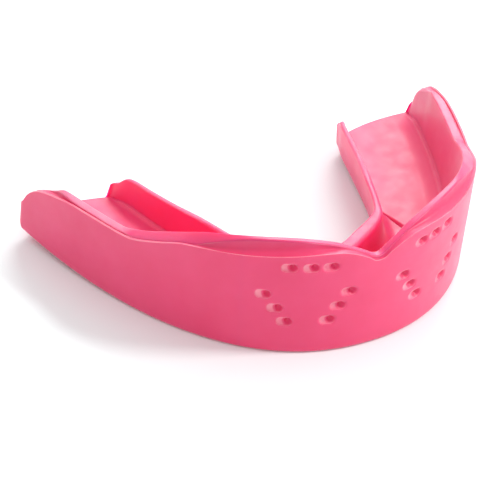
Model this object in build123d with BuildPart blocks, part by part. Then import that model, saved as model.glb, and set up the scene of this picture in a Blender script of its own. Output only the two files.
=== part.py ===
"""Moulded sports mouthguard: an upper-arch bite tray with a bonded outer impact band.

Frame: +Z up, the biting underside on Z = 0, lips towards -Y, throat towards +Y, mirror plane X = 0.
The origin is the bottom centre of the whole guard. All sizes are millimetres.

Every curve of the arch is a half curve in plan, from the middle of the lips to the rear of one arm. It is a
cubic with four control points, and it leans: it has one set of points at its foot and one at its head.
"""

import os

from build123d import *

# Overall
arch_length = 44.0
front_overhang = 0.68  # how far the lip face leans past its foot
front_y = -arch_length / 2 + front_overhang  # plan Y of the lip face's foot

# Heights
crown_z = 18.2  # highest part of the rim, over the canine teeth
bevel_z = 16.0  # the outer band turns inwards here
notch_z = 14.9  # bottom of the lip notch
lingual_z = 8.6  # tongue-side rim at the front
floor_z = 2.0  # channel floor under the front teeth
pad_z = 3.0  # channel floor under the molars
rise = 1.3  # how far the underside lifts at the rear ends

# Half curves in plan, measured from the lip face's foot: foot points, then head points
outer_foot = [(0, 0), (16.5, 0), (26.7, 14.2), (32.8, 41.3)]
outer_head = [(0, -0.75), (17.3, -0.75), (27.6, 13.4), (31.7, 41.5)]
seam_foot = [(0, 1.5), (15.9, 1.5), (25.3, 14.8), (31.3, 41.6)]
seam_head = [(0, 0.75), (16.8, 0.75), (26.8, 13.8), (31.2, 41.6)]
cheek_foot = [(0, 3.4), (14.6, 3.4), (25.0, 15.3), (29.6, 42.2)]
cheek_head = [(0, 1.6), (16.4, 1.6), (26.2, 14.2), (30.7, 42.0)]
palate_foot = [(0, 7.4), (9.0, 7.4), (14.8, 17.0), (19.8, 42.0)]
palate_head = [(0, 9.8), (6.0, 9.8), (10.8, 15.5), (18.2, 41.5)]
tongue_foot = [(0, 9.5), (8.5, 9.5), (13.8, 17.0), (17.6, 42.0)]
tongue_head = [(0, 12.0), (5.0, 12.0), (9.5, 16.0), (17.2, 41.5)]

# Outer band
band_drop = 0.2  # its top edge sits this far under the tray's rim
bevel_land = 0.25  # what is left of its thickness on top of the bevel
panel_edge = (16.7, 6.5)  # plan point of the front panel's edge, from the lip face's foot
panel_centre = 25.9  # both panel edges are radial from this far behind the lip face

# Perforations of the front panel: rows by height, and how far from the middle each column stands
slot_length = 1.9
slot_width = 1.15
top_row = [(7.0, 14.7), (9.3, 14.7), (11.7, 14.7)]
inner_column = [(4.2, 10.15), (5.6, 7.9), (6.9, 5.65)]
outer_column = [(14.4, 10.15), (12.9, 7.9), (11.7, 5.65)]

clear = 4.0  # cutters run this far past what they cut
wide = 40.0  # half the width of a cutter across the arch


def leaning(curve, height):
    """Control points of a leaning half curve at a height, placed in the part's frame."""
    foot, head, head_z = curve
    share = height / head_z
    return [
        (a[0] + (b[0] - a[0]) * share, front_y + a[1] + (b[1] - a[1]) * share)
        for a, b in zip(foot, head)
    ]


def arch_section(height, near, far, bulge=0.0):
    """A U-shaped face at a height, between two placed half curves and their mirror images."""
    with BuildSketch(Plane.XY.offset(height)) as section:
        with BuildLine():
            Bezier(*near)
            Bezier(*far)
            if bulge:
                middle = ((near[-1][0] + far[-1][0]) / 2, max(near[-1][1], far[-1][1]) + bulge)
                ThreePointArc(near[-1], middle, far[-1])
            else:
                Line(near[-1], far[-1])
            mirror(about=Plane.YZ)
        make_face()
    return section.sketch


def rim_cutter(drop):
    """Everything above the rim's line as it is seen from the side."""
    crest = (front_y + 5.0, crown_z - drop)
    slope = (front_y + 14.2, 15.4 - drop)
    saddle = (front_y + 21.0, 11.9 - drop)
    ear = (front_y + 31.0, 11.5 - drop)
    heel = (front_y + 42.4, 3.4)
    with BuildPart() as cutter:
        with BuildSketch(Plane.YZ):
            with BuildLine():
                Line((front_y - clear, crown_z - drop), crest)
                Spline(crest, slope, saddle, tangents=((1, 0), (1, -0.05)))
                Line(saddle, ear)
                Spline(ear, (front_y + 37.8, 10.0 - drop), heel, tangents=((1, 0), (0.1, -1)))
                Polyline(
                    heel,
                    (front_y + 42.4 + clear, 3.4),
                    (front_y + 42.4 + clear, crown_z + clear),
                    (front_y - clear, crown_z + clear),
                    (front_y - clear, crown_z - drop),
                )
            make_face()
        extrude(amount=wide, both=True)
    return cutter.part


def lip_notch_cutter(depth_z):
    """The wide V at the middle of the lip side, which clears the lip's frenum."""
    reach = 10.5
    with BuildPart() as cutter:
        with BuildSketch(Plane.XZ.offset(-front_y - 6.0)):
            with BuildLine():
                ThreePointArc((0, depth_z), (reach / 2, depth_z + 2.2), (reach, depth_z + 3.35))
                Line((reach, depth_z + 3.35), (reach, crown_z + clear))
                Line((reach, crown_z + clear), (0, crown_z + clear))
                mirror(about=Plane.YZ)
            make_face()
        extrude(amount=6.0 + clear)
    return cutter.part


def rocker_cutter():
    """What is missing under the arms, where the underside lifts towards their rear ends."""
    flat_end = (front_y + 20.0, 0)
    rear = (front_y + arch_length + clear, rise * 1.25)
    with BuildPart() as cutter:
        with BuildSketch(Plane.YZ):
            with BuildLine():
                Spline(flat_end, rear, tangents=((1, 0), (1, 0.12)))
                Polyline(rear, (rear[0], -clear), (flat_end[0], -clear), flat_end)
            make_face()
        extrude(amount=wide, both=True)
    return cutter.part


def lingual_cutter():
    """Everything above the tongue-side rim, between the middles of the two channels."""
    middle = [(0, 6.0), (14.0, 6.0), (19.0, 16.0), (24.0, 46.0)]
    with BuildPart() as cutter:
        with BuildSketch(Plane.YZ):
            with BuildLine():
                Spline(
                    (front_y + 4.0, lingual_z),
                    (front_y + 20.0, 8.3),
                    (front_y + 38.0, 6.6),
                    tangents=((1, 0), (1, -0.15)),
                )
                Polyline(
                    (front_y + 38.0, 6.6),
                    (front_y + 40.2, 6.0),
                    (front_y + 43.0, 2.9),
                    (front_y + 48.0, 2.9),
                    (front_y + 48.0, crown_z + clear),
                    (front_y + 4.0, crown_z + clear),
                    (front_y + 4.0, lingual_z),
                )
            make_face()
        extrude(amount=wide, both=True)
        with BuildSketch(Plane.XY):
            with BuildLine():
                Bezier(*[(x, front_y + y) for x, y in middle])
                Line((24.0, front_y + 46.0), (0, front_y + 46.0))
                mirror(about=Plane.YZ)
            make_face()
        extrude(amount=crown_z + 2 * clear, mode=Mode.INTERSECT)
    return cutter.part


def panel_wedge():
    """Plan wedge that holds the front panel: its two sides are the panel's edges."""
    apex = (0, front_y + panel_centre)
    far = 2.0  # the wedge runs to this many panel radii
    edge = (panel_edge[0] * far, apex[1] + (panel_edge[1] - panel_centre) * far)
    with BuildPart() as wedge:
        with BuildSketch(Plane.XY.offset(-clear)):
            with BuildLine():
                Polyline((0, apex[1]), edge, (0, edge[1]))
                mirror(about=Plane.YZ)
            make_face()
        extrude(amount=crown_z + 2 * clear)
    return wedge.part


def pad_zone():
    """Where the two raised molar floors lie: behind a sloping step across each channel."""
    with BuildPart() as zone:
        with BuildSketch(Plane.XY.offset(floor_z)):
            with BuildLine():
                Polyline((0, front_y + 29.0), (13.6, front_y + 22.3), (18.2, front_y + 9.0))
                Polyline((18.2, front_y + 9.0), (wide, front_y + 9.0), (wide, front_y + 50.0))
                Line((wide, front_y + 50.0), (0, front_y + 50.0))
                mirror(about=Plane.YZ)
            make_face()
        with BuildSketch(Plane.XY.offset(pad_z)):
            with BuildLine():
                Polyline((0, front_y + 30.0), (14.3, front_y + 23.0), (19.0, front_y + 10.0))
                Polyline((19.0, front_y + 10.0), (wide, front_y + 10.0), (wide, front_y + 50.0))
                Line((wide, front_y + 50.0), (0, front_y + 50.0))
                mirror(about=Plane.YZ)
            make_face()
        loft()
    return zone.part


def arch_loft(near, far, heights, bulge=0.0):
    """A solid between two leaning curves."""
    with BuildPart() as solid:
        loft(sections=[arch_section(z, leaning(near, z), leaning(far, z), bulge) for z in heights])
    return solid.part


def bevel_cutter():
    """What the bevel takes off the outside of the band, from the bevel's lower line up to the crown."""
    outwards = [(0, -1), (0.4, -0.9), (0.9, -0.4), (1, 0)]
    low = leaning(outer, bevel_z)
    high = leaning(outer, crown_z)
    crest = leaning(seam, crown_z)
    land = [(p[0] + bevel_land * n[0], p[1] + bevel_land * n[1]) for p, n in zip(crest, outwards)]
    low_far = [(p[0] + clear * n[0], p[1] + clear * n[1]) for p, n in zip(low, outwards)]
    high_far = [(p[0] + clear * n[0], p[1] + clear * n[1]) for p, n in zip(high, outwards)]
    with BuildPart() as cutter:
        loft(sections=[arch_section(bevel_z, low_far, low), arch_section(crown_z, high_far, land)])
    return cutter.part


outer = (outer_foot, outer_head, crown_z)
seam = (seam_foot, seam_head, crown_z)
cheek = (cheek_foot, cheek_head, crown_z)
palate = (palate_foot, palate_head, lingual_z)
tongue = (tongue_foot, tongue_head, lingual_z)

tray_blank = arch_loft(seam, tongue, (0, crown_z), bulge=1.3)
band_blank = arch_loft(outer, seam, (0, crown_z))
channel = arch_loft(cheek, palate, (floor_z, crown_z + 1), bulge=6.0)
rocker = rocker_cutter()
wedge = panel_wedge()
band_cutters = [
    bevel_cutter(),
    rim_cutter(band_drop),
    lip_notch_cutter(notch_z - band_drop),
    rocker,
]

# ---------------------------------------------------------------- bite tray
with BuildPart() as bite_tray:
    add(tray_blank)
    add(channel, mode=Mode.SUBTRACT)
    add(lingual_cutter(), mode=Mode.SUBTRACT)
    add(rim_cutter(0), mode=Mode.SUBTRACT)
    add(lip_notch_cutter(notch_z), mode=Mode.SUBTRACT)
    add(rocker, mode=Mode.SUBTRACT)

# ---------------------------------------------------------------- front impact panel, perforated
with BuildPart() as front_impact_panel:
    add(band_blank)
    add(wedge, mode=Mode.INTERSECT)
    for cutter in band_cutters:
        add(cutter, mode=Mode.SUBTRACT)
    for x, z in top_row + inner_column + outer_column:
        with BuildSketch(Plane.XZ.offset(-front_y - 8.0)):
            with Locations((x, z), (-x, z)):
                SlotOverall(slot_length, slot_width)
        extrude(amount=8.0 + clear, mode=Mode.SUBTRACT)

# ---------------------------------------------------------------- side bands
with BuildPart() as right_side_band:
    add(band_blank)
    add(wedge, mode=Mode.SUBTRACT)
    with Locations((wide / 2, 0, 0)):
        Box(wide, 3 * wide, 3 * wide, mode=Mode.INTERSECT)
    for cutter in band_cutters:
        add(cutter, mode=Mode.SUBTRACT)

with BuildPart() as left_side_band:
    add(right_side_band.part)
    mirror(about=Plane.YZ, mode=Mode.REPLACE)

# ---------------------------------------------------------------- molar pads
with BuildPart() as right_molar_pad:
    add(tray_blank)
    add(channel, mode=Mode.INTERSECT)
    add(pad_zone(), mode=Mode.INTERSECT)
    add(rocker, mode=Mode.SUBTRACT)
    with Locations((wide / 2, 0, 0)):
        Box(wide, 3 * wide, 3 * wide, mode=Mode.INTERSECT)

with BuildPart() as left_molar_pad:
    add(right_molar_pad.part)
    mirror(about=Plane.YZ, mode=Mode.REPLACE)

# ---------------------------------------------------------------- write
os.makedirs("parts", exist_ok=True)

bite_tray.part.label = "bite_tray"
export_step(bite_tray.part, "parts/bite_tray.step")
front_impact_panel.part.label = "front_impact_panel"
export_step(front_impact_panel.part, "parts/front_impact_panel.step")
left_side_band.part.label = "left_side_band"
export_step(left_side_band.part, "parts/left_side_band.step")
right_side_band.part.label = "right_side_band"
export_step(right_side_band.part, "parts/right_side_band.step")
left_molar_pad.part.label = "left_molar_pad"
export_step(left_molar_pad.part, "parts/left_molar_pad.step")
right_molar_pad.part.label = "right_molar_pad"
export_step(right_molar_pad.part, "parts/right_molar_pad.step")
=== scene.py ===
"""Looks of the moulded mouthguard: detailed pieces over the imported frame, floor, lights and camera.

Lengths in the shape code are millimetres, in arch axes: X to the right, Y back from the lip face's foot,
Z up. Every station of the arch is a value u, 0 at the middle of the lips and 1 at the rear of an arm; s is
the share of the arch's length up to it. Every cross-section is a list of points that go once round the
piece. A wall point is given by n, its distance inwards from the lip face, and its height.
"""

import math

import bpy
import numpy as np
from mathutils import Matrix, Vector


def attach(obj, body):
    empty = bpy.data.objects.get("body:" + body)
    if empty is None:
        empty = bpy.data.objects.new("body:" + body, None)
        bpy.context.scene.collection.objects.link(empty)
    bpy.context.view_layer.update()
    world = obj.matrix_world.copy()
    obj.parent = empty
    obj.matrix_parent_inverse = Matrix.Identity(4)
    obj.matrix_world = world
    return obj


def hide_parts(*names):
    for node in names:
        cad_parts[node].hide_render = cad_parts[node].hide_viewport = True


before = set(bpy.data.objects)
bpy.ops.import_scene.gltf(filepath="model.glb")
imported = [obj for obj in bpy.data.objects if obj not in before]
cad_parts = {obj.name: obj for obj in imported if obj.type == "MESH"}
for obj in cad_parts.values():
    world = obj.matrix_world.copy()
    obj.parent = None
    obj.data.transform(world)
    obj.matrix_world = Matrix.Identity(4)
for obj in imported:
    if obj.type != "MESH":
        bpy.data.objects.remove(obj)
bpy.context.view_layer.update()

MM = 0.001
FRONT_Y = -21.32  # where the lip face's foot stands in the CAD frame

# ------------------------------------------------------------------ plan curves
OUTER_FOOT = [(0, 0), (16.5, 0), (26.7, 14.2), (32.8, 41.3)]
# tongue-side wall: (station, x, y) knots of its two faces, at the underside's level and near its top
PALATE_FOOT = [(0, 0, 8.6), (0.15, 2.8, 9.0), (0.3, 6.2, 10.9), (0.42, 9.2, 12.8), (0.5, 11.2, 15.5)]
PALATE_FOOT += [(0.56, 12.4, 18.0), (0.7, 14.6, 24.4), (0.85, 16.9, 32.3), (1, 19.4, 41.9)]
PALATE_HEAD = [(0, 0, 10.1), (0.15, 2.5, 10.5), (0.3, 5.7, 12.1), (0.42, 8.4, 13.7), (0.5, 10.4, 15.7)]
PALATE_HEAD += [(0.56, 11.35, 18.1), (0.7, 13.35, 24.4), (0.85, 15.55, 32.2), (1, 17.75, 41.4)]
TONGUE_FOOT = [(0, 0, 10.6), (0.15, 2.3, 10.9), (0.3, 5.8, 12.4), (0.42, 8.9, 14.4), (0.5, 10.9, 16.9)]
TONGUE_FOOT += [(0.56, 12.0, 19.5), (0.7, 14.1, 25.2), (0.85, 15.9, 32.8), (1, 17.7, 41.9)]
TONGUE_HEAD = [(0, 0, 12.1), (0.15, 2.0, 12.5), (0.3, 5.0, 14.1), (0.42, 7.8, 15.5), (0.5, 9.6, 16.9)]
TONGUE_HEAD += [(0.56, 10.6, 19.0), (0.7, 12.5, 24.9), (0.85, 14.8, 32.4), (1, 17.2, 41.6)]
LINGUAL_REF = 7.9  # height of the two head traces

FLOOR_Z = 2.0
PAD_Z = 3.0
MIN_LINGUAL_RISE = 0.9  # least height of the tongue-side wall over the channel floor
TROUGH_RISE = 0.65  # how much shallower the channel is under the front teeth


def bezier(points, u):
    """Point on a Bezier curve, by de Casteljau's rule; u may pass 1 a little."""
    p = [np.array(q, float) for q in points]
    while len(p) > 1:
        p = [a + (b - a) * u for a, b in zip(p, p[1:])]
    return p[0]


def knots(pairs):
    """A smooth curve through (s, value) knots that doesn't overshoot them."""
    xs = np.array([p[0] for p in pairs], float)
    ys = np.array([p[1] for p in pairs], float)
    h = np.diff(xs)
    d = np.diff(ys) / h
    m = np.zeros(len(xs))
    m[0], m[-1] = d[0], d[-1]
    for i in range(1, len(xs) - 1):
        if d[i - 1] * d[i] > 0:
            w1, w2 = 2 * h[i] + h[i - 1], h[i] + 2 * h[i - 1]
            m[i] = (w1 + w2) / (w1 / d[i - 1] + w2 / d[i])

    def value(x):
        x = min(max(x, xs[0]), xs[-1])
        i = min(int(np.searchsorted(xs, x, side="right")) - 1, len(h) - 1)
        t = (x - xs[i]) / h[i]
        return (
            ys[i] * (1 + 2 * t) * (1 - t) ** 2
            + m[i] * h[i] * t * (1 - t) ** 2
            + ys[i + 1] * t * t * (3 - 2 * t)
            + m[i + 1] * h[i] * t * t * (t - 1)
        )

    return value


def smoothstep(a, b, x):
    """0 at a, 1 at b, smooth between them; a may be the larger one."""
    t = min(max((x - a) / (b - a), 0.0), 1.0)
    return t * t * (3 - 2 * t)


_us = np.linspace(0, 1, 801)
_line = np.array([bezier(OUTER_FOOT, u) for u in _us])
_run = np.concatenate([[0], np.cumsum(np.linalg.norm(np.diff(_line, axis=0), axis=1))])


def s_of(u):
    """Share of the arch's length from the lips to station u."""
    return float(np.interp(u, _us, _run / _run[-1]))


def u_of(s):
    return float(np.interp(s, _run / _run[-1], _us))


# ------------------------------------------------------------------ section dimensions along the arch
# knots of (s, value)
LEAN = knots(  # outward lean of the lip face, per millimetre of height
    [(0, 0.042), (0.2, 0.047), (0.4, 0.063), (0.6, 0.045), (0.733, 0.013)]
    + [(0.867, -0.014), (1, -0.05)]
)
LIP_Z = knots(  # top of the outer band's face
    [(0, 14.35), (0.01, 14.45), (0.03, 15.25), (0.067, 16.35), (0.1, 16.85), (0.133, 16.95)]
    + [(0.2, 16.7), (0.333, 16.1), (0.4, 15.8), (0.467, 15.2), (0.533, 13.75), (0.6, 12.3)]
    + [(0.622, 11.95), (0.64, 11.9), (0.8, 11.55), (0.88, 10.75), (0.933, 9.8), (0.965, 8.75)]
    + [(0.985, 7.6), (1, 6.2)]
)
RIM_Z = knots(  # top of the tray's own wall
    [(0, 14.85), (0.01, 14.95), (0.03, 15.6), (0.06, 16.4), (0.12, 17.5), (0.2, 18.1)]
    + [(0.25, 18.18), (0.3, 18.1), (0.4, 17.3), (0.5, 15.3), (0.56, 13.85), (0.62, 12.5)]
    + [(0.656, 11.85), (0.665, 11.8), (0.75, 11.65), (0.868, 11.4), (0.9, 10.5), (0.933, 9.3)]
    + [(0.965, 8.0), (0.985, 6.4), (1, 4.6)]
)
SEAM_N = knots(  # where the band's top meets the tray's wall
    [(0, 0.35), (0.05, 0.8), (0.1, 1.25), (0.2, 1.6), (0.3, 1.45), (0.36, 1.1), (0.4, 0.75), (0.45, 0.38)]
    + [(0.6, 0.42), (0.66, 0.55), (0.82, 0.6), (0.86, 0.85), (0.89, 1.2), (0.925, 1.2), (0.96, 1.0), (1, 0.9)]
)
SEAM_SHARE = knots(  # height of that seam, as a share of the way from the lip to the rim
    [(0, 1), (0.28, 1), (0.34, 0.85), (0.4, 0.45), (0.45, 0.02), (0.622, 0.02), (0.66, 1), (0.85, 1)]
    + [(0.92, 0.3), (0.96, 0.3), (1, 0.7)]
)
RIM_N = knots(
    [(0, 1.3), (0.05, 1.65), (0.1, 2.1), (0.2, 2.4), (0.35, 2.0), (0.5, 1.9), (0.6, 1.75)]
    + [(0.85, 1.75), (0.9, 1.5), (1, 1.6)]
)
LIP_W = knots([(0, 0.2), (0.1, 0.12), (0.4, 0.12), (0.5, 0.2), (0.58, 0.28), (1, 0.32)])
GROOVE = knots(  # depth of the groove behind the lip
    [(0, 0.0), (0.06, 0.03), (0.14, 0.22), (0.34, 0.2), (0.44, 0.02), (0.6, 0.02), (0.66, 0.22), (0.82, 0.3)]
    + [(0.88, 0.3), (0.925, 0.22), (0.945, 0.05), (1, 0.0)]
)
WALL_FOOT = knots([(0, 3.3), (0.3, 3.0), (0.5, 2.85), (1, 2.8)])  # the lip-side wall's thickness at its foot
LINGUAL_Z = knots(  # top of the tongue-side wall
    [(0, 7.9), (0.2, 7.9), (0.42, 8.2), (0.5, 8.1), (0.62, 7.95), (0.74, 7.5), (0.86, 7.1), (0.95, 6.85)]
    + [(0.965, 6.7), (1, 5.3)]
)
BAND_FOOT = 1.5  # thickness of the outer band at its foot
SEAM_GAP = 0.03  # the band's top stays this far under the tray's edge
PANEL_ROWS = 160  # mesh rows up the perforated face
SIDE_ROWS = 14  # mesh rows up the plain face
PANEL_S = 0.322  # where the front panel ends
REAR_RISE = 1.27  # height of the underside at the rear of an arm


def rocker(s):
    """Height of the underside."""
    return REAR_RISE * max(0.0, (s - 0.5) / 0.5) ** 2


def outward(u):
    """Foot point of the lip face, and the plan direction that points into the arch from it."""
    a = bezier(OUTER_FOOT, u)
    b = bezier(OUTER_FOOT, u + 1e-4) - bezier(OUTER_FOOT, u - 1e-4)
    t = b / np.linalg.norm(b)
    return a, np.array([-t[1], t[0]])


def wall_point(u, n, z, s):
    """A point n millimetres inwards from the leaning lip face, at height z."""
    o, inward = outward(u)
    p = o + inward * (n - LEAN(s) * z)
    return np.array([p[0], p[1], z])


def trace(points):
    """A plan curve through (station, x, y) knots."""
    along_x = knots([(p[0], p[1]) for p in points])
    along_y = knots([(p[0], p[2]) for p in points])
    return lambda u: np.array([along_x(u), along_y(u)])


palate_foot, palate_head = trace(PALATE_FOOT), trace(PALATE_HEAD)
tongue_foot, tongue_head = trace(TONGUE_FOOT), trace(TONGUE_HEAD)


def lingual_point(foot, head, u, z):
    share = z / LINGUAL_REF
    p = foot(u) * (1 - share) + head(u) * share
    return np.array([p[0], p[1], z])


def rounded(corners):
    """A closed section with rounded corners.

    Each corner is (point, radius, steps of its arc, extra points before the next corner).
    """
    n = len(corners)
    arcs = []
    for i in range(n):
        p, radius, steps, _ = corners[i]
        a, b = corners[i - 1][0], corners[(i + 1) % n][0]
        la, lb = np.linalg.norm(a - p), np.linalg.norm(b - p)
        r = min(radius, 0.48 * la, 0.48 * lb)
        pa = p + (a - p) * (r / la)
        pb = p + (b - p) * (r / lb)
        ts = np.linspace(0, 1, steps + 1)
        arcs.append([pa * (1 - t) ** 2 + p * 2 * t * (1 - t) + pb * t * t for t in ts])
    out = []
    for i in range(n):
        out.extend(arcs[i])
        a, b = arcs[i][-1], arcs[(i + 1) % n][0]
        extra = corners[i][3]
        for k in range(1, extra + 1):
            out.append(a + (b - a) * k / (extra + 1))
    return out


# ------------------------------------------------------------------ cross-sections
def seam_height(s):
    """Top of the seam between the outer band and the tray's own wall."""
    low, high = LIP_Z(s), RIM_Z(s)
    return high if SEAM_SHARE(s) > 0.999 else low + (high - low) * SEAM_SHARE(s)


def tray_section(u):
    """Channel floor between the lip-side wall and the tongue-side wall."""
    s = s_of(u)
    zb, zr = rocker(s), RIM_Z(s)
    zl = max(LINGUAL_Z(s), FLOOR_Z + MIN_LINGUAL_RISE)
    seam_n, rim_n = SEAM_N(s), RIM_N(s)
    foot_n = WALL_FOOT(s) + LEAN(s) * FLOOR_Z
    floor_z = FLOOR_Z + TROUGH_RISE * (1 - smoothstep(0.68, 0.76, s))
    slope = 1 - smoothstep(0.5, 0.68, s)
    return rounded(
        [
            (wall_point(u, BAND_FOOT, zb, s), 0.05, 1, 6),
            (wall_point(u, seam_n, seam_height(s), s), 0.16, 4, 2),
            (wall_point(u, rim_n, zr, s), 0.1, 3, 0),
            (wall_point(u, rim_n + 0.12, zr - 0.16, s), 0.1, 3, 2),
            (wall_point(u, rim_n * 0.45 + foot_n * 0.55, zr * 0.4 + floor_z * 0.6, s), 6.0, 8, 2),
            (wall_point(u, foot_n, floor_z, s), 1.1, 6, 6),
            (lingual_point(palate_foot, palate_head, u, floor_z), 0.9 + 1.7 * slope, 6, 4),
            (lingual_point(palate_foot, palate_head, u, zl), 0.22 + 0.4 * slope, 4, 2),
            (lingual_point(tongue_foot, tongue_head, u, zl), 0.4, 5, 5),
            (lingual_point(tongue_foot, tongue_head, u, zb), 0.8, 5, 8),
        ]
    )


def band_section(u, face_rows):
    """Outer layer of the lip-side wall: its face, lip, groove and the scoop up to the seam."""
    s = s_of(u)
    zb, zl = rocker(s), LIP_Z(s)
    seam_n, lip, dip = SEAM_N(s), LIP_W(s), GROOVE(s)
    gap = seam_n - lip
    turn = min(0.12, 0.3 * gap)
    zs = seam_height(s) - SEAM_GAP
    scoop = smoothstep(0.3, 1.0, zs - zl)
    far_n = (seam_n - turn) * (1 - scoop) + (lip + 0.78 * gap) * scoop
    far_z = min(zl - dip + 0.05, zs - 0.02) * (1 - scoop) + (zl + 0.08 * (zs - zl)) * scoop
    lip_radius = 0.14 + 0.45 * (1 - smoothstep(0.0, 0.05, s))
    return rounded(
        [
            (wall_point(u, 0, zb, s), 0.9, 6, face_rows),
            (wall_point(u, 0, zl, s), lip_radius, 4, 1),
            (wall_point(u, lip, zl, s), 0.1, 3, 1),
            (wall_point(u, lip + turn, zl - dip, s), 0.12, 3, 2),
            (wall_point(u, far_n, far_z, s), 0.45, 6, 3),
            (wall_point(u, seam_n, zs, s), 0.04, 1, 3),
            (wall_point(u, BAND_FOOT, zb, s), 0.04, 1, 3),
        ]
    )


# ------------------------------------------------------------------ meshes
def to_world(p):
    return (p[0] * MM, (p[1] + FRONT_Y) * MM, p[2] * MM)


def mirrored(section):
    return [np.array([-p[0], p[1], p[2]]) for p in section]


def painted_highlight(grid):
    """Painted highlight on each vertex, 0 to 1, from the outward turn of its cross-section per millimetre:
    paler colour on convex edges that stands in for the glints of light on them.
    """
    before = grid - np.roll(grid, 1, axis=1)
    after = np.roll(grid, -1, axis=1) - grid
    ahead = np.gradient(grid.mean(axis=1), axis=0)
    ahead /= np.linalg.norm(ahead, axis=1)[:, None]
    turn = np.einsum("ijk,ik->ij", np.cross(before, after), ahead)
    length = (np.linalg.norm(before, axis=2) + np.linalg.norm(after, axis=2)) / 2 + 1e-6
    bend = turn / length**3 * np.sign(turn.sum(axis=1))[:, None]
    return np.clip((bend - 1.2) / 5.0, 0, 1)


def build(name, sections, pale=0.0):
    """A closed solid through its sections; pale adds to the painted highlight of its vertices."""
    rows, cols = len(sections), len(sections[0])
    verts = [to_world(p) for section in sections for p in section]
    faces = []
    for i in range(rows - 1):
        for j in range(cols):
            k = (j + 1) % cols
            faces.append((i * cols + j, i * cols + k, (i + 1) * cols + k, (i + 1) * cols + j))
    faces.append(tuple(range(cols - 1, -1, -1)))
    faces.append(tuple((rows - 1) * cols + j for j in range(cols)))
    mesh = bpy.data.meshes.new(name)
    mesh.from_pydata(verts, [], faces)
    # painted highlight: a per-vertex layer that makes convex edges, rim tops and hole ramps paler, in place
    # of light falling on them
    highlight_layer = mesh.attributes.new("painted_highlight", "FLOAT", "POINT")
    highlight_amount = painted_highlight(np.array(sections)) + pale
    highlight_layer.data.foreach_set("value", np.clip(highlight_amount, 0, 1).astype(np.float32).ravel())
    mesh.update()
    ends = set(range(cols)) | set(range((rows - 1) * cols, rows * cols))
    for e in mesh.edges:
        a, b = e.vertices
        if a in ends and b in ends and abs(a - b) in (1, cols - 1):
            e.use_edge_sharp = True
    obj = bpy.data.objects.new(name, mesh)
    bpy.context.scene.collection.objects.link(obj)
    return obj


def finish_mesh(obj):
    for p in obj.data.polygons:
        p.use_smooth = True
    m = obj.modifiers.new("normals", "WEIGHTED_NORMAL")
    m.keep_sharp = True
    m.weight = 80


def closing(section, steps, depth, direction, fall=0.0):
    """Sections that round a section off to a blunt end: it shrinks round its own middle as it moves on.

    A fall above 0 makes it lose height from the start, so that a falling top line runs on smoothly.
    """
    pts = np.array(section)
    centre = (pts.min(0) + pts.max(0)) / 2
    half = (pts.max(0) - pts.min(0)) / 2
    out = []
    for t in np.linspace(0, math.pi / 2, steps + 1)[1:]:
        shrink = depth * (1 - math.cos(t))
        scale = np.array([1 - shrink / max(h, depth * 1.5) for h in half])
        scale[2] -= fall * depth * math.sin(t) / half[2]
        ahead = np.array([direction[0], direction[1], 0]) * depth * math.sin(t)
        out.append(list(centre + (pts - centre) * scale + ahead))
    return out


# how far the arm's rear end runs on past its last station, or falls short of it
CHEEK_REACH = 0.25
FLOOR_REACH = 0.475
TONGUE_DROP = 1.2


def rear_line(w):
    """How far the rear end reaches past its last station; w is 0 at the cheek wall, 1 at the tongue side."""
    return CHEEK_REACH * (1 - w) ** 2 + FLOOR_REACH * 4 * w * (1 - w) - TONGUE_DROP * w**3


def rear_bulge(section, share, cheek_x, tongue_x):
    """Moves a section's points back along the rear line; share(p) says how much of it a point takes."""
    out = []
    for p in section:
        w = min(max((cheek_x - p[0]) / (cheek_x - tongue_x), 0), 1)
        out.append(p + np.array([0, share(p) * rear_line(w), 0]))
    return out


def tray_bulge(section, s):
    """The tray's floor bulges back between its two walls."""
    return rear_bulge(section, lambda p: smoothstep(0.9, 1.0, s), section[0][0], min(p[0] for p in section))


# ------------------------------------------------------------------ perforations
# (distance from the mirror plane, height) of each centre on the right half
PERFORATIONS = [(6.95, 14.7), (9.5, 14.7), (12.15, 14.7)]
PERFORATIONS += [(4.15, 10.1), (5.55, 7.9), (6.8, 5.65)]
PERFORATIONS += [(14.85, 10.0), (13.4, 7.75), (12.15, 5.5)]
HOLE_RADIUS = 0.7
HOLE_RUN = 0.46  # half the straight part between a hole's two round ends
BORE_RADIUS = 0.67
BORE_SHIFT = 0.42  # from a hole's middle to the middle of its deep round bore
BORE_DEPTH = 0.85
SCOOP_DEPTH = 0.33
EDGE_SINK = 0.07  # how far the face sinks round a hole's edge
FIRST_FACE_POINT = 3  # points of a band section that lie on its face
LAST_FACE_POINT = PANEL_ROWS + 6


def hole_depth(along, rise, side):
    """Push into the face and paleness, at a place measured from a hole's middle; the paleness is a painted
    highlight on the scoop's shallow end, away from the bore, in place of light on that ramp.

    The side, 1 or -1, says to which end of the hole its deep bore lies.
    """
    across = math.hypot(max(0.0, abs(along) - HOLE_RUN), rise) / HOLE_RADIUS
    if across >= 1.4:
        return 0.0, 0.0
    scoop = SCOOP_DEPTH * max(0.0, 1 - min(across, 1.0) ** 2.2)
    scoop += EDGE_SINK * (1 - smoothstep(0.9, 1.4, across))
    reach = math.hypot(along - side * BORE_SHIFT, rise) / BORE_RADIUS
    bore = BORE_DEPTH * max(0.0, 1 - reach**1.8) ** 0.8
    # painted highlight on the scoop's shallow end, standing in for light falling on that ramp
    pale = smoothstep(1.1, 0.7, across) * smoothstep(0.9, 1.3, reach)
    return max(scoop, bore), pale


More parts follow.
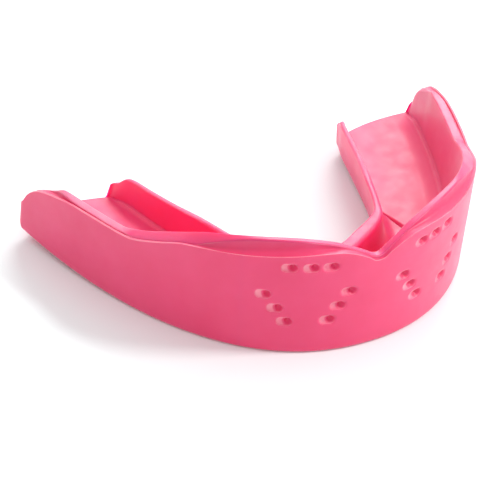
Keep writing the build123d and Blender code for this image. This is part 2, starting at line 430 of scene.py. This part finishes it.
def perforate(sections, us, side):
    """Pushes the holes into the outer faces of the sections, and says how much painted highlight each vertex
    of them gets on the holes' shallow ramps.
    """
    grid = np.array(sections)
    pale = np.zeros(grid.shape[:2])
    middle = grid[:, 60, :2]
    run = np.concatenate([[0], np.cumsum(np.linalg.norm(np.diff(middle, axis=0), axis=1))])
    inward = np.array([outward(u)[1] for u in us])
    for x, z in PERFORATIONS:
        row = int(np.argmin(abs(grid[0, 5:PANEL_ROWS, 2] - z))) + 5
        at = float(np.interp(x, grid[:, row, 0], run))
        for i in range(len(us)):
            if abs(run[i] - at) > HOLE_RUN + 1.4 * HOLE_RADIUS:
                continue
            for j in range(FIRST_FACE_POINT, LAST_FACE_POINT):
                rise = grid[i, j, 2] - z
                if abs(rise) > 1.4 * HOLE_RADIUS:
                    continue
                push, paleness = hole_depth(run[i] - at, rise, side)
                grid[i, j, :2] += inward[i] * push
                pale[i, j] = max(pale[i, j], paleness)
    return [list(row) for row in grid], pale


# ------------------------------------------------------------------ molar pads
PAD_LENGTH = 24.0
PAD_EMBED = 0.5  # how far the pad's edge reaches into the cheek wall
PAD_REAR = (37.0, 41.9)  # the rear line's bulge sets in between these plan Y


def pad_start(w):
    """Station where the pad's front step crosses the channel; w is 0 at the tongue side, 1 at the cheek."""
    return 0.655 - 0.27 * (w if w < 0.5 else 0.5 + (w - 0.5) * 0.3)


def pad_profile(w, width):
    """Height of the pad's top over its flat middle, at a share w of the way to the cheek wall."""
    to_cheek, to_tongue = (1 - w) * width, w * width
    cheek = 1.25 * max(0.0, 1 - to_cheek / 3.0) ** 1.7
    tongue = 0.4 * max(0.0, 1 - to_tongue / 0.9) ** 2
    cheek_bead = 0.2 * math.exp(-(((to_cheek - 0.75) / 0.16) ** 2))
    tongue_bead = 0.1 * math.exp(-(((to_tongue - 0.3) / 0.12) ** 2))
    return cheek + tongue + cheek_bead + tongue_bead


def pad_sections(rows=130, cols=64):
    """Right pad: a closed solid with a sloping front step, swept along the molar channel."""
    sections = []
    ws = 0.5 - 0.5 * np.cos(np.linspace(0, math.pi, cols))
    for i in range(rows):
        k = i / (rows - 1)
        top, bottom = [], []
        for w in ws:
            start = pad_start(w)
            u = start + (1.0 - start) * k
            s = s_of(u)
            inner = lingual_point(palate_foot, palate_head, u, PAD_Z)
            outer = wall_point(u, WALL_FOOT(s) + LEAN(s) * PAD_Z - PAD_EMBED, PAD_Z, s)
            p = inner + (outer - inner) * w
            width = np.linalg.norm(outer - inner)
            ahead = (u - start) / (1 - start) * PAD_LENGTH
            step = smoothstep(-0.6, 1.6, ahead)
            fade = 1 - smoothstep(0.93, 1.0, s)
            z = FLOOR_Z + (PAD_Z - FLOOR_Z) * step + pad_profile(w, width) * fade * smoothstep(0, 2, ahead)
            top.append(np.array([p[0], p[1], z]))
            bottom.append(np.array([p[0], p[1], FLOOR_Z - 0.03]))
        sections.append(rear_bulge(top + bottom[::-1], lambda q: smoothstep(*PAD_REAR, q[1]), 31.3, 17.8))
    return sections


# ------------------------------------------------------------------ pieces
RIM_TOP = slice(10, 17)  # the points of a tray section that lie on top of the rim
RIM_PALE = 0.5  # painted highlight on the rim's top along the arms: paler colour in place of its gloss
REAR_STATIONS = np.linspace(0.9, 1, 36)[1:]
stations_half = [u_of(s) for s in np.concatenate([np.linspace(0, 0.9, 150), REAR_STATIONS])]

# tray: one run of sections from the rear of the left arm to the rear of the right one
right = [tray_bulge(tray_section(u), s_of(u)) for u in stations_half]
right += closing(right[-1], 5, 0.5, (0.1, 0.99))
left = [mirrored(sec) for sec in right[1:]]
# painted highlight on the rim's top, from the start of the molar pads to the rear of the arms
rim_highlight = [RIM_PALE * smoothstep(0.63, 0.655, s_of(u)) for u in stations_half]
rim_highlight += [RIM_PALE] * (len(right) - len(rim_highlight))
tray_pale = np.zeros((len(right), len(right[0])))
tray_pale[:, RIM_TOP] = np.array(rim_highlight)[:, None]
tray = build("tray_moulding", left[::-1] + right, np.vstack([tray_pale[:0:-1], tray_pale]))

# front panel
panel_us = [u_of(s) for s in np.linspace(0, PANEL_S, 240)]
panel_plain = [band_section(u, PANEL_ROWS) for u in panel_us]
panel_right, pale_right = perforate(panel_plain, panel_us, 1)
panel_left, pale_left = perforate(panel_plain, panel_us, -1)
panel_all = [mirrored(sec) for sec in panel_left[:0:-1]] + panel_right
panel = build("front_panel_moulding", panel_all, np.vstack([pale_left[:0:-1], pale_right]))

# side bands
side_us = [u_of(s) for s in np.concatenate([np.linspace(PANEL_S, 0.9, 110), REAR_STATIONS])]
side_right = [band_section(u, SIDE_ROWS) for u in side_us]
side_right += closing(side_right[-1], 7, 0.8, (0.1, 0.99), 0.7)
band_r = build("right_band_moulding", side_right)
band_l = build("left_band_moulding", [mirrored(sec) for sec in side_right][::-1])

# molar pads
pad_right = pad_sections()
pad_r = build("right_pad_moulding", pad_right)
pad_l = build("left_pad_moulding", [mirrored(sec) for sec in pad_right][::-1])

for o in (tray, panel, band_r, band_l, pad_r, pad_l):
    finish_mesh(o)
    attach(o, "root")
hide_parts("bite_tray")
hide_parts("right_molar_pad")
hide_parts("left_molar_pad")
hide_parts("front_impact_panel")
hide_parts("right_side_band")
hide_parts("left_side_band")


# ------------------------------------------------------------------ materials
# noise scales, per metre
CLOUD = 140
PATCHES = 260
GLOSS = 420
# pale pink of the painted highlight on edges, rim tops and hole ramps
HIGHLIGHT_PINK = (0.95, 0.36, 0.44)


def moulded(name, base, highlight_strength, rough, grain, grain_height, glow, glow_reach, bloom):
    """Slightly translucent moulded thermoplastic: cloudy colour, fine grain, painted highlight on edges,
    uneven gloss.

    The fourth argument sets how far the painted highlight turns edges, rim tops and hole ramps pale, grain
    the noise scale of the fine bump and grain_height its height in metres, glow and glow_reach the subsurface
    weight and scale, bloom the sheen's weight.
    """
    mat = bpy.data.materials.new(name)
    mat.use_nodes = True
    nodes, links = mat.node_tree.nodes, mat.node_tree.links
    shader = nodes["Principled BSDF"]
    place = nodes.new("ShaderNodeTexCoord")

    def noise(scale, detail, roughness):
        n = nodes.new("ShaderNodeTexNoise")
        n.inputs["Scale"].default_value = scale
        n.inputs["Detail"].default_value = detail
        n.inputs["Roughness"].default_value = roughness
        links.new(place.outputs["Object"], n.inputs["Vector"])
        return n.outputs["Fac"]

    def spread(source, low, high, to_low, to_high):
        n = nodes.new("ShaderNodeMapRange")
        n.inputs["From Min"].default_value = low
        n.inputs["From Max"].default_value = high
        n.inputs["To Min"].default_value = to_low
        n.inputs["To Max"].default_value = to_high
        links.new(source, n.inputs["Value"])
        return n.outputs["Result"]

    def blend(factor, first, second):
        n = nodes.new("ShaderNodeMix")
        n.data_type = "RGBA"
        links.new(factor, n.inputs["Factor"])
        for value, socket in ((first, n.inputs["A"]), (second, n.inputs["B"])):
            if isinstance(value, tuple):
                socket.default_value = (*value, 1)
            else:
                links.new(value, socket)
        return n.outputs["Result"]

    cloud = spread(noise(CLOUD, 3, 0.55), 0.3, 0.7, 0, 1)
    deep = tuple(c * k for c, k in zip(base, (0.97, 0.8, 0.9)))
    light = tuple(min(1.0, c * k) for c, k in zip(base, (1.02, 1.25, 1.08)))
    body = blend(cloud, deep, light)
    # painted highlight: the highlight attribute, broken up by noise, blends the colour towards pale pink in
    # place of glints and gloss
    highlight_amount = nodes.new("ShaderNodeAttribute")
    highlight_amount.attribute_name = "painted_highlight"
    patchy = nodes.new("ShaderNodeMath")
    patchy.operation = "MULTIPLY"
    links.new(highlight_amount.outputs["Fac"], patchy.inputs[0])
    links.new(spread(noise(PATCHES, 3, 0.6), 0.3, 0.7, 0.45 * highlight_strength, highlight_strength), patchy.inputs[1])
    links.new(blend(patchy.outputs[0], body, HIGHLIGHT_PINK), shader.inputs["Base Color"])
    gloss = spread(noise(GLOSS, 4, 0.6), 0.3, 0.7, rough - 0.05, rough + 0.07)
    links.new(gloss, shader.inputs["Roughness"])
    bump = nodes.new("ShaderNodeBump")
    bump.inputs["Strength"].default_value = 0.35
    bump.inputs["Distance"].default_value = grain_height
    links.new(noise(grain, 3, 0.6), bump.inputs["Height"])
    links.new(bump.outputs["Normal"], shader.inputs["Normal"])
    shader.inputs["IOR"].default_value = 1.62
    shader.inputs["Sheen Weight"].default_value = bloom
    shader.inputs["Sheen Roughness"].default_value = 0.45
    shader.inputs["Subsurface Weight"].default_value = glow
    shader.inputs["Subsurface Radius"].default_value = (1.0, 0.12, 0.28)
    shader.inputs["Subsurface Scale"].default_value = glow_reach
    return mat


tray_pink = moulded(
    "tray_thermoplastic",
    base=(0.8, 0.02, 0.163),
    highlight_strength=0.45,
    rough=0.42,
    grain=2600,
    grain_height=0.00002,
    glow=0.6,
    glow_reach=0.0016,
    bloom=0.25,
)
band_pink = moulded(
    "impact_band_thermoplastic",
    base=(0.8, 0.024, 0.145),
    highlight_strength=0.8,
    rough=0.44,
    grain=2600,
    grain_height=0.00002,
    glow=0.3,
    glow_reach=0.0006,
    bloom=0.25,
)
pad_pink = moulded(
    "molar_pad_thermoplastic",
    base=(0.82, 0.028, 0.16),
    highlight_strength=0.3,
    rough=0.46,
    grain=1700,
    grain_height=0.00003,
    glow=0.3,
    glow_reach=0.0008,
    bloom=0.15,
)
for o, mat in ((tray, tray_pink), (pad_r, pad_pink), (pad_l, pad_pink)):
    o.data.materials.append(mat)
for o in (panel, band_r, band_l):
    o.data.materials.append(band_pink)

# ------------------------------------------------------------------ stage
FLOOR_HALF = 3.0
floor_mesh = bpy.data.meshes.new("floor")
floor_corners = [(x * FLOOR_HALF, y * FLOOR_HALF, 0) for x, y in ((-1, -1), (1, -1), (1, 1), (-1, 1))]
floor_mesh.from_pydata(floor_corners, [], [(0, 1, 2, 3)])
floor = bpy.data.objects.new("floor", floor_mesh)
bpy.context.scene.collection.objects.link(floor)
paper = bpy.data.materials.new("floor_paper")
paper.use_nodes = True
paper_shader = paper.node_tree.nodes["Principled BSDF"]
paper_shader.inputs["Base Color"].default_value = (0.9, 0.98, 0.98, 1)
paper_shader.inputs["Roughness"].default_value = 0.9
floor.data.materials.append(paper)

# a studio that is brighter on the viewer's right
world = bpy.data.worlds.new("studio")
bpy.context.scene.world = world
world.use_nodes = True
sky, sky_links = world.node_tree.nodes, world.node_tree.links
around = sky.new("ShaderNodeTexCoord")
turned = sky.new("ShaderNodeMapping")
turned.inputs["Rotation"].default_value = (0, 0, math.radians(-35))
level = sky.new("ShaderNodeSeparateXYZ")
glow_map = sky.new("ShaderNodeMapRange")
glow_map.inputs["From Min"].default_value = -1
glow_map.inputs["To Min"].default_value = 0.75
glow_map.inputs["To Max"].default_value = 1.1
sky_links.new(around.outputs["Generated"], turned.inputs["Vector"])
sky_links.new(turned.outputs["Vector"], level.inputs["Vector"])
sky_links.new(level.outputs["X"], glow_map.inputs["Value"])
sky_links.new(glow_map.outputs["Result"], sky["Background"].inputs["Strength"])
sky["Background"].inputs["Color"].default_value = (1, 1, 1, 1)


def area(name, place, target, size, power):
    """A round area light that faces the target."""
    data = bpy.data.lights.new(name, "AREA")
    data.shape = "DISK"
    data.size = size
    data.energy = power
    o = bpy.data.objects.new(name, data)
    bpy.context.scene.collection.objects.link(o)
    o.location = place
    o.rotation_euler = (Vector(target) - Vector(place)).to_track_quat("-Z", "Y").to_euler()
    return o


area("key", (0.35, 0.47, 0.45), (0, 0, 0), 0.36, 2.65)
area("side", (0.37, -0.22, 0.42), (0, 0, 0.01), 0.12, 1.7)

cam_data = bpy.data.cameras.new("camera")
SENSOR = 36
FOCAL_PIXELS = 3095.0  # the focal length fitted to a picture 500 pixels wide
cam_data.lens = FOCAL_PIXELS * SENSOR / 500
cam_data.sensor_width = SENSOR
cam_data.clip_start = 0.01
cam = bpy.data.objects.new("camera", cam_data)
bpy.context.scene.collection.objects.link(cam)
right_v = Vector((0.8803, -0.4721, 0.0466))
up_v = Vector((0.2492, 0.5438, 0.8013))
back_v = Vector((-0.4036, -0.6938, 0.5964))
cam.matrix_world = Matrix(
    (
        (right_v.x, up_v.x, back_v.x, -0.17971),
        (right_v.y, up_v.y, back_v.y, -0.27514 + FRONT_Y * MM),
        (right_v.z, up_v.z, back_v.z, 0.25818),
        (0, 0, 0, 1),
    )
)
bpy.context.scene.camera = cam
bpy.context.scene.view_settings.view_transform = "Standard"
